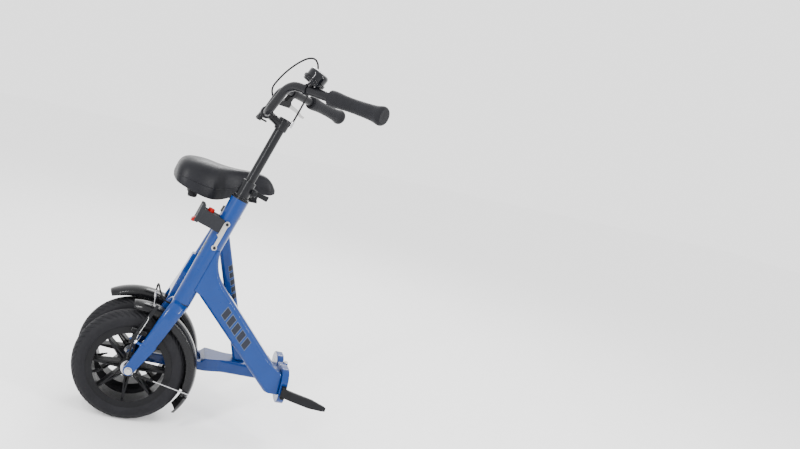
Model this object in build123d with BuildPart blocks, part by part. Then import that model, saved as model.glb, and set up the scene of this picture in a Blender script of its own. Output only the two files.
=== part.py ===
from build123d import *
from math import cos, pi, radians, sin, tan
import os

os.makedirs("parts", exist_ok=True)

# ---------------------------------------------------------------- driving dimensions (mm)
WHEEL_R = 158.75          # 12 1/2 inch tyre, outside radius
TYRE_W = 57.0             # 2 1/4 inch section
AXLE_X = -190.0           # folded wheels; puts the middle of the folded bicycle at x = 0
AXLE_Z = WHEEL_R
HALF_GAP = 118.0          # the rear half lies this far behind the front half when folded
HEAD_ANGLE = 73.0
STEER_OFFSET = 42.0       # steering axis behind the axle, measured at axle height
SEAT_ANGLE = 70.0
SEAT_X, SEAT_Z = 166.0, 394.0   # one point of the seat tube axis, from the axle
HINGE_X = 440.0           # hinge pin behind the axle
HINGE_Z = 19.0            # hinge centre above the axle
PLATE = 20.0              # hinge plate thickness
LEG_IN, LEG_OUT = 33.0, 47.0    # fork and stay legs, from the wheel's middle plane
HEAD_R, HEAD_BORE = 25.0, 22.0
HEAD_LOW, HEAD_TOP = 216.0, 534.0   # head tube ends, along the steering axis
STEERER_R, STEERER_BORE = 14.3, 12.75
POST_R = 12.7
POST_LOW, POST_TOP = 420.0, 772.0
BAR_R = 11.1
BAR_S, BAR_T = 765.0, -52.0     # handlebar centre: along, and ahead of, the steering axis
SEAT_TUBE_R, SEAT_BORE = 17.0, 13.65
CABLE_R = 2.5
FIT = 0.05                # radial gap of a running fit

BAR_TURN = -5.0           # the handlebar is clamped turned a little, its right end back
MIDDLE_Y = 13.0           # moves the front half's plane so that the whole is centred on y = 0

PIN_Y = HALF_GAP / 2
FRONT, REAR = 0.0, HALF_GAP
STEER_WAY = (cos(radians(HEAD_ANGLE)), 0, sin(radians(HEAD_ANGLE)))
steer_axis = Axis((AXLE_X + STEER_OFFSET, 0, AXLE_Z), STEER_WAY)


def write(part, name):
    """Label a finished piece, bring it to the centred frame and write its STEP file."""
    part = part.moved(Location((0, MIDDLE_Y, 0)))
    part.label = name
    export_step(part, f"parts/{name}.step")


def save(builder, name):
    write(builder.part, name)


def save_turned(builder, name):
    """As save, for the pieces that are clamped to the handlebar post."""
    write(builder.part.rotate(steer_axis, BAR_TURN), name)


# ---------------------------------------------------------------- working planes
def side(y):
    """Side view plane through the axle: local x is rearwards, local y is up, extrude goes to -Y."""
    return Plane(origin=(AXLE_X, y, AXLE_Z), x_dir=(1, 0, 0), z_dir=(0, -1, 0))


def leaning(x, z, angle, y):
    """Side view plane whose local y runs up a leaning tube and whose local x points behind it."""
    back = (sin(radians(angle)), 0, -cos(radians(angle)))
    return Plane(origin=(AXLE_X + x, y, AXLE_Z + z), x_dir=back, z_dir=(0, -1, 0))


def cross(x, z, angle, y, along):
    """Plane square to a leaning tube: local x points behind it, local y is +Y."""
    lean = leaning(x, z, angle, y)
    return Plane(origin=lean.from_local_coords((0, along, 0)), x_dir=lean.x_dir, z_dir=lean.y_dir)


def steer_side(y=0.0):
    return leaning(STEER_OFFSET, 0, HEAD_ANGLE, y)


def steer_cross(along):
    return cross(STEER_OFFSET, 0, HEAD_ANGLE, 0, along)


def seat_side(y=REAR):
    return leaning(SEAT_X, SEAT_Z, SEAT_ANGLE, y)


def seat_cross(along):
    return cross(SEAT_X, SEAT_Z, SEAT_ANGLE, REAR, along)


def radial(y, angle):
    """Section plane of a wheel: local x is along the axle, local y points outwards at the angle."""
    c, s = cos(radians(angle)), sin(radians(angle))
    return Plane(origin=(AXLE_X, y, AXLE_Z), x_dir=(0, 1, 0), z_dir=(s, 0, -c))


def spoke_plane(y, angle, radius):
    """Plane square to a wheel's radius, facing outwards."""
    section = radial(y, angle)
    return Plane(origin=section.from_local_coords((0, radius, 0)), z_dir=section.y_dir)


def axle_line(y):
    return Axis((AXLE_X, y, AXLE_Z), (0, 1, 0))


def gentle_radii(points, factor=0.45):
    """The largest arcs that the runs of a cable route allow."""
    radii = []
    for before, here, after in zip(points, points[1:], points[2:]):
        run_in = Vector(*here) - Vector(*before)
        run_out = Vector(*after) - Vector(*here)
        half_turn = radians(run_in.get_angle(run_out)) / 2
        radii.append(factor * min(run_in.length, run_out.length) / tan(half_turn))
    return radii


def cable_tube(points, radii, name):
    """A cable along straight runs joined by tangent arcs; prints its radii and a volume check."""
    with BuildPart() as cable:
        with BuildLine() as path:
            FilletPolyline(*points, radius=radii)
        with BuildSketch(Plane(points[0], z_dir=path.line % 0)):
            Circle(CABLE_R)
        sweep()
    length = sum(edge.length for edge in path.line.edges())
    ratio = cable.part.volume / (pi * CABLE_R**2 * length)
    print(name, "length", round(length), "volume ratio", round(ratio, 4), "radii",
          [round(radius) for radius in radii])
    return cable


# ================================================================= wheels
RIM_W = 25.5              # half width over the rim flanges
RIM_R = 117.0
BARREL_R, WELL_R = 105.0, 99.0
CASE_R = WHEEL_R - TYRE_W / 2
BOSS_R, HUB_R = 27.0, 18.0
SPOKES = 8
SPOKE_SPREAD = 14.0       # degrees between a spoke's middle and each of its two feet
VALVE_ANGLE = 202.5
VALVE_R = 4.0
BEARING_R, AXLE_R = 13.0, 5.0

for half, mid in (("front", FRONT), ("rear", REAR)):
    with BuildPart() as tyre:
        with BuildSketch(radial(mid, 90)):
            with Locations((0, CASE_R)):
                Circle(TYRE_W / 2)
                Circle(TYRE_W / 2 - 5, mode=Mode.SUBTRACT)
            with Locations((0, WELL_R)):
                Rectangle(27, 26, mode=Mode.SUBTRACT)
            with Locations((31.5, WELL_R), (-31.5, WELL_R)):
                Rectangle(20, 37, mode=Mode.SUBTRACT)
        revolve(axis=axle_line(mid))
    save(tyre, f"{half}_tyre")

    with BuildPart() as tube:
        with BuildSketch(radial(mid, 90)):
            with Locations((0, CASE_R)):
                Circle(TYRE_W / 2 - 5.4)
                Circle(TYRE_W / 2 - 6.8, mode=Mode.SUBTRACT)
            with Locations((0, CASE_R - TYRE_W / 2 + 5)):   # seam on the rim side
                Rectangle(0.6, 6, mode=Mode.SUBTRACT)
        revolve(axis=axle_line(mid))
        with BuildSketch(spoke_plane(mid, VALVE_ANGLE, 84)):
            Circle(VALVE_R)
        extrude(amount=CASE_R - TYRE_W / 2 + 6.2 - 84)
        with BuildSketch(spoke_plane(mid, VALVE_ANGLE, 72)):
            Circle(2.6)
        extrude(amount=12)
    save(tube, f"{half}_inner_tube")

    with BuildPart() as rim:
        with BuildSketch(radial(mid, 90)):
            with BuildLine():
                Polyline(
                    (-RIM_W, WELL_R), (RIM_W, WELL_R), (RIM_W, RIM_R), (RIM_W - 3.7, RIM_R),
                    (RIM_W - 3.7, BARREL_R), (3.7 - RIM_W, BARREL_R), (3.7 - RIM_W, RIM_R),
                    (-RIM_W, RIM_R), close=True,
                )
            make_face()
        revolve(axis=axle_line(mid))
        with BuildSketch(side(mid)):
            Circle(BOSS_R)
            Circle(HUB_R, mode=Mode.SUBTRACT)
        extrude(amount=24, both=True)
        with BuildSketch(side(mid)):
            for turn in range(SPOKES):
                middle = turn * 360 / SPOKES
                for foot in (middle - SPOKE_SPREAD, middle + SPOKE_SPREAD):
                    start = Vector(BOSS_R - 2, 0).rotate(Axis.Z, foot)
                    end = Vector(WELL_R + 2, 0).rotate(Axis.Z, middle)
                    with BuildLine():
                        Line(start, end)
                    trace(line_width=4.5)
        extrude(amount=15, both=True)
        with BuildSketch(spoke_plane(mid, VALVE_ANGLE, WELL_R - 4)):
            Circle(VALVE_R + 0.2)
        extrude(amount=12, mode=Mode.SUBTRACT)
    save(rim, f"{half}_rim")

    with BuildPart() as hub:
        with BuildSketch(side(mid)):
            Circle(HUB_R - FIT)
            Circle(BEARING_R + 0.02, mode=Mode.SUBTRACT)
        extrude(amount=26, both=True)
        with BuildSketch(side(mid + 24.2), side(mid - 27.2)):
            Circle(BOSS_R - 5)
            Circle(BEARING_R + 0.02, mode=Mode.SUBTRACT)
        extrude(amount=-3)
        with BuildSketch(side(mid + 18), side(mid - 26)):
            Circle(BEARING_R)
            Circle(AXLE_R + FIT, mode=Mode.SUBTRACT)
        extrude(amount=-8)
    save(hub, f"{half}_hub")

    with BuildPart() as axle:
        with BuildSketch(side(mid)):
            Circle(AXLE_R)
        extrude(amount=55, both=True)
        with BuildSketch(side(mid + 27.5), side(mid - LEG_IN + 0.02)):
            Circle(9)
            Circle(AXLE_R, mode=Mode.SUBTRACT)
        extrude(amount=-(LEG_IN - 27.52))
        with BuildSketch(side(mid + LEG_OUT + 0.02), side(mid - LEG_OUT - 1.62)):
            Circle(11)
            Circle(AXLE_R, mode=Mode.SUBTRACT)
        extrude(amount=-1.6)
        with BuildSketch(side(mid + LEG_OUT + 1.62), side(mid - LEG_OUT - 7.62)):
            RegularPolygon(8.6, 6)
            Circle(AXLE_R, mode=Mode.SUBTRACT)
        extrude(amount=-6)
    save(axle, f"{half}_axle")

# ================================================================= front half
with BuildPart() as head_tube:
    with BuildSketch(steer_cross(HEAD_LOW)):
        Circle(HEAD_R)
        Circle(HEAD_BORE, mode=Mode.SUBTRACT)
    extrude(amount=HEAD_TOP - HEAD_LOW)
save(head_tube, "head_tube")

with BuildPart() as headset:
    for low, high in ((HEAD_LOW - 2.7, HEAD_LOW - 0.02), (HEAD_TOP + 0.02, HEAD_TOP + 3.7)):
        with BuildSketch(steer_cross(low)):
            Circle(HEAD_R)
            Circle(STEERER_R + 0.6, mode=Mode.SUBTRACT)
        extrude(amount=high - low)
    for low, high in ((HEAD_LOW - 0.5, HEAD_LOW + 12), (HEAD_TOP - 12, HEAD_TOP + 0.5)):
        with BuildSketch(steer_cross(low)):
            Circle(HEAD_BORE - FIT)
            Circle(18.6, mode=Mode.SUBTRACT)
        extrude(amount=high - low)
    for low in (HEAD_LOW + 1, HEAD_TOP - 11):
        with BuildSketch(steer_cross(low)):
            Circle(18.55)
            Circle(STEERER_R + FIT, mode=Mode.SUBTRACT)
        extrude(amount=10)
save(headset, "headset")

BEAM_HALF = 24.0          # half width of the front beam across the bicycle
BEAM_END = HINGE_X - PLATE
with BuildPart() as down_tube:
    with BuildSketch(side(0)):
        with BuildLine():
            Line((119, 252), (141, 241))
            Line((141, 241), (379, -1))
            Line((379, -1), (385, -4))
            Line((385, -4), (BEAM_END, -4))
            Line((BEAM_END, -4), (BEAM_END, 56))
            Line((BEAM_END, 56), (398, 70))
            Line((398, 70), (214, 264))
            ThreePointArc((214, 264), (187, 304), (178, 366))
            Line((178, 366), (154, 366))
            Line((154, 366), (119, 252))
        make_face()
    extrude(amount=BEAM_HALF, both=True)
    with BuildSketch(steer_cross(HEAD_LOW - 20)):
        Circle(HEAD_R + FIT)
    extrude(amount=HEAD_TOP - HEAD_LOW, mode=Mode.SUBTRACT)
    long_edges = (
        down_tube.faces().filter_by(Axis.Y).edges().filter_by(GeomType.LINE)
        .filter_by(lambda edge: edge.length > 200)
    )
    chamfer(long_edges, 8)
    with BuildSketch(side(0)):
        with BuildLine():
            Polyline((147, 243), (381, 3), (387, -1), (BEAM_END + 1, -1), (BEAM_END + 1, 53),
                     (397, 66), (211, 262), (182, 303), close=True)
        make_face()
    extrude(amount=BEAM_HALF - 6, both=True, mode=Mode.SUBTRACT)
save(down_tube, "down_tube")

# ----------------------------------------------------------------- the fold: plates, knuckles and pin
PLATE_HIGH = 104.0
PLATE_NEAR, PLATE_FAR = 10.0, 93.0    # plate edges, measured from the pin
KNUCKLE_R = 8.5
PIN_HALF = 45.0
KNUCKLE_SPLIT = 15.0
FACE_GAP = 0.2


def hinge_plate(toward, knuckles):
    """One hinge plate with its knuckles; toward is +1 when the plate lies on the pin's +Y side."""
    face_x = AXLE_X + HINGE_X - FACE_GAP
    plane = Plane(origin=(face_x, PIN_Y, AXLE_Z + HINGE_Z), x_dir=(0, 1, 0), z_dir=(1, 0, 0))
    middle = toward * (PLATE_NEAR + PLATE_FAR) / 2
    with BuildPart() as plate:
        with BuildSketch(plane):
            with Locations((middle, 0)):
                RectangleRounded(PLATE_FAR - PLATE_NEAR, PLATE_HIGH, 34)
            for low, high in knuckles:
                with Locations((toward * PLATE_NEAR, (low + high) / 2)):
                    Rectangle(2 * PLATE_NEAR, high - low)
        extrude(amount=-(PLATE - FACE_GAP))
        for low, high in knuckles:
            with BuildSketch(Plane.XY.offset(AXLE_Z + HINGE_Z + low)):
                with Locations((AXLE_X + HINGE_X, PIN_Y)):
                    Circle(KNUCKLE_R)
            extrude(amount=high - low)
        with BuildSketch(Plane.XY.offset(AXLE_Z + HINGE_Z - PIN_HALF - 1)):
            with Locations((AXLE_X + HINGE_X, PIN_Y)):
                Circle(5 + FIT)
        extrude(amount=2 * PIN_HALF + 2, mode=Mode.SUBTRACT)
    return plate


gap = 0.3
front_plate = hinge_plate(-1, ((-PIN_HALF, -KNUCKLE_SPLIT - gap), (KNUCKLE_SPLIT + gap, PIN_HALF)))
save(front_plate, "front_hinge_plate")
rear_plate = hinge_plate(1, ((-KNUCKLE_SPLIT, KNUCKLE_SPLIT),))
save(rear_plate, "rear_hinge_plate")

with BuildPart() as hinge_pin:
    with BuildSketch(Plane.XY.offset(AXLE_Z + HINGE_Z - PIN_HALF - 3)):
        with Locations((AXLE_X + HINGE_X, PIN_Y)):
            Circle(5)
    extrude(amount=2 * PIN_HALF + 3)
    with BuildSketch(Plane.XY.offset(AXLE_Z + HINGE_Z + PIN_HALF + 0.02)):
        with Locations((AXLE_X + HINGE_X, PIN_Y)):
            Circle(7.5)
    extrude(amount=3)
save(hinge_pin, "hinge_pin")

# ----------------------------------------------------------------- latch lever on the front plate
LATCH_X, LATCH_Y = HINGE_X - 10, -41.5
LATCH_OPEN = -29.0        # degrees from straight back, towards the rider's left
LATCH_Z = HINGE_Z - 6
LATCH_LONG = 124.4
lever_plane = Plane(origin=(AXLE_X + LATCH_X, LATCH_Y, AXLE_Z + LATCH_Z),
                    x_dir=(cos(radians(LATCH_OPEN)), sin(radians(LATCH_OPEN)), 0), z_dir=(0, 0, 1))
with BuildPart() as latch_lever:
    with BuildSketch(lever_plane.offset(-13)):
        with BuildLine():
            Polyline((0, -5), (30, -8), (LATCH_LONG - 10, -7), (LATCH_LONG, -3), (LATCH_LONG, 0),
                     (LATCH_LONG - 8, 3), (34, 3), (0, 5), close=True)
        make_face()
        Circle(6.5)
    extrude(amount=26)
    with BuildSketch(lever_plane.offset(-20)):
        Circle(3 + FIT)
    extrude(amount=40, mode=Mode.SUBTRACT)
    with BuildSketch(Plane(origin=lever_plane.origin, x_dir=lever_plane.x_dir,
                           z_dir=lever_plane.y_dir).offset(-30)):
        with BuildLine():
            Polyline((60, 16), (130, 5), (130, 20), (60, 20), close=True)
        make_face()
        with BuildLine():
            Polyline((60, -16), (130, -5), (130, -20), (60, -20), close=True)
        make_face()
    extrude(amount=60, mode=Mode.SUBTRACT)
save(latch_lever, "latch_lever")

with BuildPart() as latch_mount:
    for low in (LATCH_Z - 17.5, LATCH_Z + 13.5):
        with BuildSketch(Plane.XY.offset(AXLE_Z + low)):
            with Locations((AXLE_X + LATCH_X, LATCH_Y)):
                Circle(6.5)
            with Locations((AXLE_X + LATCH_X, (LATCH_Y - 34.02) / 2)):
                Rectangle(13, -34.02 - LATCH_Y)
            with Locations((AXLE_X + LATCH_X, LATCH_Y)):
                Circle(3 + 0.01, mode=Mode.SUBTRACT)
        extrude(amount=4)
    with BuildSketch(Plane.XY.offset(AXLE_Z + LATCH_Z - 19.5)):
        with Locations((AXLE_X + LATCH_X, LATCH_Y)):
            Circle(3)
    extrude(amount=39)
save(latch_mount, "latch_mount")

# ----------------------------------------------------------------- luggage adapter on the head tube
ADAPT_LOW, ADAPT_HIGH = 432.0, 469.0
with BuildPart() as carrier_adapter:
    with BuildSketch(steer_side(0)):
        with Locations((-41, (ADAPT_LOW + ADAPT_HIGH) / 2)):
            Rectangle(64, ADAPT_HIGH - ADAPT_LOW)
    extrude(amount=31, both=True)
    fillet(carrier_adapter.edges().filter_by(Axis.Y), 4)
    with BuildSketch(steer_side(0)):
        with Locations((-77, (ADAPT_LOW + ADAPT_HIGH) / 2 + 4)):
            Rectangle(10, ADAPT_HIGH - ADAPT_LOW + 14)
    extrude(amount=29, both=True)
    with BuildSketch(steer_cross(ADAPT_LOW - 5)):
        Circle(HEAD_R + 0.1)
    extrude(amount=60, mode=Mode.SUBTRACT)
    with BuildSketch(steer_cross(ADAPT_HIGH - 8)):
        with Locations((-52, 0)):
            Circle(9.4)
    extrude(amount=20, mode=Mode.SUBTRACT)
    with BuildSketch(steer_side(0)):
        with Locations((-77, ADAPT_LOW)):
            Rectangle(14, 16)
    extrude(amount=11, both=True, mode=Mode.SUBTRACT)
save(carrier_adapter, "carrier_adapter")

with BuildPart() as carrier_button:
    with BuildSketch(steer_cross(ADAPT_HIGH - 3)):
        with Locations((-52, 0)):
            Circle(9)
    extrude(amount=12)
    fillet(carrier_button.faces().sort_by(Axis.Z)[-1].edges(), 2)
save(carrier_button, "carrier_button")

with BuildPart() as carrier_catch:
    with BuildSketch(steer_side(0)):
        with BuildLine():
            Polyline((-71, 438.5), (-81, 438.5), (-88, 431), (-88, 424), (-82, 424), (-71, 430),
                     close=True)
        make_face()
    extrude(amount=10, both=True)
save(carrier_catch, "carrier_catch")

with BuildPart() as carrier_plates:
    for near in (-28.1, 25.1):
        with BuildSketch(steer_side(near)):
            with BuildLine():
                Polyline((-4.5, 391), (4.5, 391), (4.5, 462), (-8.5, 462), (-8.5, 434),
                         (-14, 428), (-4.5, 421), close=True)
            make_face()
            with Locations((0, 391.4), (0, 462.5)):
                Circle(7.5)
                Circle(2.6, mode=Mode.SUBTRACT)
        extrude(amount=-3)
    with BuildSketch(steer_cross(ADAPT_LOW - 5)):
        with Locations((-41, 0)):
            Rectangle(64.6, 80)
    extrude(amount=45, mode=Mode.SUBTRACT)
    for near, outward in ((-28.12, 1), (28.12, -1)):
        with BuildSketch(steer_side(near)):
            with Locations((0, 391.4), (0, 462.5)):
                Circle(4.5)
        extrude(amount=3 * outward)
        with BuildSketch(steer_side(near)):
            with Locations((0, 391.4), (0, 462.5)):
                Circle(2.5)
        extrude(amount=-2.9 * outward)
save(carrier_plates, "carrier_plates")

# ================================================================= fork
CROWN_TOP = HEAD_LOW - 3.0
ARCH_TOP = 183.0          # underside of the fork crown above the axle
with BuildPart() as fork:
    with BuildSketch(side(0)):
        with BuildLine():
            Polyline((-9, 12), (57, 165), (74, 196), (80, 214), (130, 214), (126, 190), (112, 158),
                     (13, -7), close=True)
        make_face()
        Circle(15)
    extrude(amount=60, both=True)
    with BuildSketch(Plane(origin=(AXLE_X - 60, 0, AXLE_Z), x_dir=(0, 1, 0), z_dir=(1, 0, 0))):
        with BuildLine():
            Polyline((-LEG_OUT, -20), (-LEG_OUT, 150), (-40, 182), (-24, 206), (-24, 240),
                     (24, 240), (24, 206), (40, 182), (LEG_OUT, 150), (LEG_OUT, -20), close=True)
        make_face()
        fillet(vertices().filter_by(lambda v: abs(v.Y) > 23 and v.Z < AXLE_Z + 230
                                    and v.Z > AXLE_Z), 14)
        with Locations((0, ARCH_TOP - 150)):
            RectangleRounded(2 * LEG_IN, 300, 20, mode=Mode.SUBTRACT)
    extrude(amount=260, mode=Mode.INTERSECT)
    with BuildSketch(steer_cross(CROWN_TOP)):
        Rectangle(200, 200)
    extrude(amount=80, mode=Mode.SUBTRACT)
    with BuildSketch(side(0)):
        Circle(AXLE_R + 0.01)
    extrude(amount=60, both=True, mode=Mode.SUBTRACT)

# the front brake stands square to the legs: boss, arm and pad share these directions
BRAKE_Y = 42.5
LEG_UP = (0.408, 0.913)
ARM_LONG = 116.0
ARM_NEAR, ARM_FAR = 26.0, 37.0      # the arm's thickness ahead of the leg
PAD_UP = 24.0


def brake_plane(y):
    """Local x points ahead of the fork leg, local y runs up it, extrude goes to +Y."""
    ahead = (-LEG_UP[1], 0, LEG_UP[0])
    return Plane(origin=(AXLE_X + 24, y, AXLE_Z + 76), x_dir=ahead, z_dir=(0, 1, 0))


def boss_plane(y, ahead):
    """Plane across a brake boss: local x runs up the leg, local y is +Y or -Y."""
    base = brake_plane(y)
    return Plane(origin=base.from_local_coords((ahead, 0, 0)), x_dir=base.y_dir, z_dir=base.x_dir)


low_route = (
    (STEER_OFFSET + 300 * cos(radians(HEAD_ANGLE)), 0, 300 * sin(radians(HEAD_ANGLE))),
    (STEER_OFFSET + 200 * cos(radians(HEAD_ANGLE)), 0, 200 * sin(radians(HEAD_ANGLE))),
    (59, 3, 196),
    (44, 14, 215),
    (36, 36, 232),
    (34, 54, 224),
    (33.5, 58, 207.5),
)
low_points = [(AXLE_X + x, y, AXLE_Z + z) for x, y, z in low_route]
low_radii = gentle_radii(low_points)
low_radii[0] = 17.0
with BuildPart() as channel:
    with BuildLine() as channel_path:
        FilletPolyline(*low_points[:3], radius=low_radii[0])
    with BuildSketch(Plane(low_points[0], z_dir=channel_path.line % 0)):
        Circle(CABLE_R + 0.8)
    sweep()

with fork:
    for y in (-BRAKE_Y, BRAKE_Y):
        with BuildSketch(boss_plane(y, -6)):
            Circle(6)
        extrude(amount=12)
        with BuildSketch(boss_plane(y, -6)):
            Circle(4)
        extrude(amount=6 + ARM_FAR + 3)
    add(channel.part, mode=Mode.SUBTRACT)
    with BuildSketch(Plane(origin=(AXLE_X - 60, 0, AXLE_Z), x_dir=(0, 1, 0), z_dir=(1, 0, 0))):
        Rectangle(2 * LEG_IN, 300)
    extrude(amount=110, mode=Mode.SUBTRACT)
save(fork, "fork")

with BuildPart() as steerer_tube:
    with BuildSketch(steer_cross(CROWN_TOP + 0.01)):
        Circle(STEERER_R)
        Circle(STEERER_BORE, mode=Mode.SUBTRACT)
    extrude(amount=586 - CROWN_TOP)
save(steerer_tube, "steerer_tube")

save(cable_tube(low_points, low_radii, "fork_brake_cable"), "fork_brake_cable")

# ----------------------------------------------------------------- brake arms, pads and noodle
for name, sign in (("left", -1), ("right", 1)):
    with BuildPart() as arm:
        with BuildSketch(brake_plane(sign * 43)):
            with BuildLine():
                Polyline((ARM_NEAR, -9), (ARM_FAR, -9), (ARM_FAR, 40), (ARM_FAR - 2, ARM_LONG),
                         (ARM_NEAR + 1, ARM_LONG), (ARM_NEAR, 40), close=True)
            make_face()
        extrude(amount=4.4, both=True)
        with BuildSketch(boss_plane(sign * BRAKE_Y, ARM_NEAR)):
            Circle(4.4)
            Circle(4 + FIT, mode=Mode.SUBTRACT)
        extrude(amount=ARM_FAR - ARM_NEAR)
        with BuildSketch(boss_plane(sign * BRAKE_Y, 0)):
            Circle(4 + FIT)
        extrude(amount=60, mode=Mode.SUBTRACT)
        with BuildSketch(brake_plane(sign * 43)):
            with Locations(((ARM_NEAR + ARM_FAR) / 2, PAD_UP)):
                Circle(3.05)
        extrude(amount=12, both=True, mode=Mode.SUBTRACT)
    save(arm, f"brake_arm_{name}")

    with BuildPart() as pad:
        with BuildSketch(Plane(brake_plane(sign * 27.7).from_local_coords((28, PAD_UP, 0)),
                               x_dir=(-0.985, 0, 0.17), z_dir=(0, sign, 0))):
            RectangleRounded(42, 10, 3)
        extrude(amount=8)
        with BuildSketch(brake_plane(sign * 35)):
            with Locations(((ARM_NEAR + ARM_FAR) / 2, PAD_UP)):
                Circle(3)
        extrude(amount=sign * 17)
        with BuildSketch(brake_plane(sign * 47.6)):
            with Locations(((ARM_NEAR + ARM_FAR) / 2, PAD_UP)):
                RegularPolygon(5, 6)
        extrude(amount=sign * 3)
    save(pad, f"brake_pad_{name}")

NOODLE_AHEAD, NOODLE_UP = ARM_FAR + 3.05, ARM_LONG - 5
noodle_in = brake_plane(24).from_local_coords((NOODLE_AHEAD, NOODLE_UP, 0))
noodle_turn = brake_plane(57).from_local_coords((NOODLE_AHEAD, NOODLE_UP, 0))
with BuildPart() as brake_noodle:
    with BuildLine():
        FilletPolyline(noodle_in, noodle_turn, noodle_turn + Vector(0.3, 1, 10), radius=5)
    with BuildSketch(Plane(noodle_in, z_dir=(0, 1, 0))):
        Circle(3)
    sweep()
    with BuildSketch(brake_plane(24)):
        with Locations((NOODLE_AHEAD, NOODLE_UP)):
            Circle(1)
    extrude(amount=-74)
save(brake_noodle, "brake_noodle")

# ----------------------------------------------------------------- mudguards
GUARD_HALF, GUARD_THICK = 31.0, 2.4
FRONT_GUARD_R, REAR_GUARD_R = 187.0, 192.0


def mudguard(mid, outer, high, low):
    """A curved blade around a wheel between two angles, measured up from straight back."""
    with BuildPart() as blade:
        with BuildSketch(radial(mid, high)):
            with BuildLine():
                ThreePointArc((-GUARD_HALF, outer - 15), (0, outer), (GUARD_HALF, outer - 15))
                Line((GUARD_HALF, outer - 15), (GUARD_HALF - GUARD_THICK, outer - 15))
                ThreePointArc((GUARD_HALF - GUARD_THICK, outer - 15), (0, outer - GUARD_THICK),
                              (GUARD_THICK - GUARD_HALF, outer - 15))
                Line((GUARD_THICK - GUARD_HALF, outer - 15), (-GUARD_HALF, outer - 15))
            make_face()
        revolve(axis=axle_line(mid), revolution_arc=high - low)
    return blade


front_mudguard = mudguard(FRONT, FRONT_GUARD_R, 96, -20)
save(front_mudguard, "front_mudguard")
rear_mudguard = mudguard(REAR, REAR_GUARD_R, 119, 4)
save(rear_mudguard, "rear_mudguard")
mudflap = mudguard(FRONT, FRONT_GUARD_R + 1.5, -20.05, -37)
save(mudflap, "front_mudflap")

STAY_R = 1.6
STAY_ANGLE = -14.0
SLEEVE_LONG = 60.0
with BuildPart() as stays:
    for sign in (-1, 1):
        level, rise = cos(radians(STAY_ANGLE)), sin(radians(STAY_ANGLE))
        tip_r = FRONT_GUARD_R - 8
        first = Vector(AXLE_X + 12 * level, sign * 51, AXLE_Z + 12 * rise)
        last = Vector(AXLE_X + tip_r * level, sign * 34, AXLE_Z + tip_r * rise)
        with BuildSketch(Plane(first, z_dir=last - first)):
            Circle(STAY_R)
        extrude(amount=(last - first).length)
        with BuildSketch(Plane(first, z_dir=last - first)):
            Circle(3)
        extrude(amount=SLEEVE_LONG)
save(stays, "front_mudguard_stays")

# ================================================================= handlebar
with BuildPart() as handlebar_post:
    with BuildSketch(steer_cross(POST_LOW)):
        Circle(POST_R)
        Circle(POST_R - 2.2, mode=Mode.SUBTRACT)
    extrude(amount=POST_TOP - POST_LOW)
save_turned(handlebar_post, "handlebar_post")

with BuildPart() as stem:
    with BuildSketch(steer_side(0)):
        with BuildLine():
            Polyline((-POST_R - 3, 742), (POST_R + 3, 742), (POST_R + 3, 776), (2, 779),
                     (BAR_T + 6, BAR_S + 17), (BAR_T - 14, BAR_S + 8), (BAR_T - 14, BAR_S - 12),
                     (BAR_T - 8, BAR_S - 27), (BAR_T + 8, BAR_S - 27), (BAR_T + 12, BAR_S - 14),
                     close=True)
        make_face()
        with Locations((BAR_T, BAR_S)):
            Circle(17)
    extrude(amount=16, both=True)
    with BuildSketch(steer_side(0)):
        with Locations((BAR_T, BAR_S)):
            Circle(BAR_R + 0.02)
        with Locations((BAR_T, BAR_S - 22)):
            Rectangle(3, 24)
    extrude(amount=40, both=True, mode=Mode.SUBTRACT)
    with BuildSketch(steer_cross(730)):
        Circle(POST_R + 0.02)
    extrude(amount=POST_TOP + 0.02 - 730, mode=Mode.SUBTRACT)
    with BuildSketch(steer_side(0)):
        with Locations((BAR_T + 26, BAR_S - 2)):
            Circle(3.05)
    extrude(amount=40, both=True, mode=Mode.SUBTRACT)
    bolt_plane = Plane(steer_side(0).from_local_coords((BAR_T - 20, BAR_S - 21, 0)),
                       z_dir=steer_side(0).x_dir)
    with BuildSketch(bolt_plane):
        Circle(2.55)
    extrude(amount=44, mode=Mode.SUBTRACT)
save_turned(stem, "stem_clamp")

with BuildPart() as stem_bolts:
    for outward in (1, -1):
        with BuildSketch(steer_side(-16.02 * outward)):
            with Locations((BAR_T + 26, BAR_S - 2)):
                Circle(6)
        extrude(amount=4 * outward)
    with BuildSketch(steer_side(0)):
        with Locations((BAR_T + 26, BAR_S - 2)):
            Circle(3)
    extrude(amount=16, both=True)
    with BuildSketch(bolt_plane.offset(6)):
        Circle(2.5)
    extrude(amount=26)
    with BuildSketch(bolt_plane.offset(1)):
        Circle(4)
    extrude(amount=4.9)
save_turned(stem_bolts, "stem_bolts")

bar_middle = steer_side(0).from_local_coords((BAR_T, BAR_S, 0))
BAR_RISE, BAR_END = (34, 108, 76), (233, 300, 39)
bar_half = [(0, 48, 0), BAR_RISE, BAR_END]
bar_offsets = [(x, -y, z) for x, y, z in reversed(bar_half)] + bar_half
bar_points = [bar_middle + Vector(*offset) for offset in bar_offsets]
with BuildPart() as handlebar:
    with BuildLine() as bar_path:
        FilletPolyline(*bar_points, radius=[60, 44, 44, 60])
    with BuildSketch(Plane(bar_points[0], z_dir=bar_path.line % 0)):
        Circle(BAR_R)
        Circle(BAR_R - 2, mode=Mode.SUBTRACT)
    sweep()
save_turned(handlebar, "handlebar")

GRIP_LONG = 148.0
GRIP_SHAPE = ((0, 18.5), (6, 19), (30, 17.5), (75, 16), (110, 17), (135, 20), (146, 21.5), (152, 18))


def bar_station(sign, inward):
    """Plane on the straight end of the handlebar, facing the open end."""
    end = bar_middle + Vector(BAR_END[0], sign * BAR_END[1], BAR_END[2])
    rise = bar_middle + Vector(BAR_RISE[0], sign * BAR_RISE[1], BAR_RISE[2])
    out = (end - rise).normalized()
    level = Vector(0, 0, 1).cross(out).normalized()
    return Plane(end - out * inward, x_dir=level, z_dir=out)


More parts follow.
